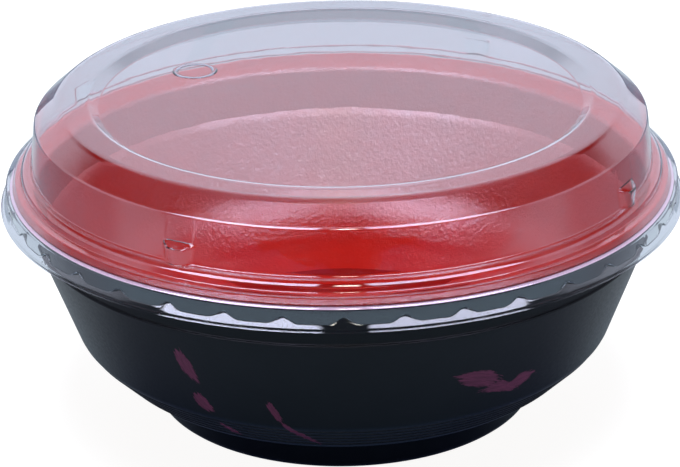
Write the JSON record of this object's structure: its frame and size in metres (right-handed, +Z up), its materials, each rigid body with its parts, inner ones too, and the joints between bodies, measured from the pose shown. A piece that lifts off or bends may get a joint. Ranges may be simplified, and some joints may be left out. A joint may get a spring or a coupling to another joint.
{
  "type": "takeaway bowl with lid",
  "caption": "Round takeaway bowl with a foot and ribbed band, laminated black outside and red inside, closed by a clear domed lid that snaps over the rim.",
  "frame": {"origin": "middle of the foot's ring, on the surface that the bowl stands on", "axes": "+Z up along the bowl's axis, the way the lid lifts; -Y is the front of the picture"},
  "size_m": [0.17, 0.17, 0.08],
  "materials": {
    "black_skin": "satin black with a few muted maroon brush dabs",
    "pale_foam": "matte foam cut edge",
    "red_film": "gloss red, finely stippled on the rim",
    "clear_sheet": "clear gloss"
  },
  "bodies": {
    "bowl": {"outer_skin": "black_skin", "foam_core": "pale_foam", "red_lining": "red_film"},
    "lid": {"lid": "clear_sheet"}
  },
  "joints": [
    {"name": "lid_lift", "type": "slide", "parent": "bowl", "child": "lid", "axis": [0, 0, 1], "range_m": [0, 0.08]}
  ]
}
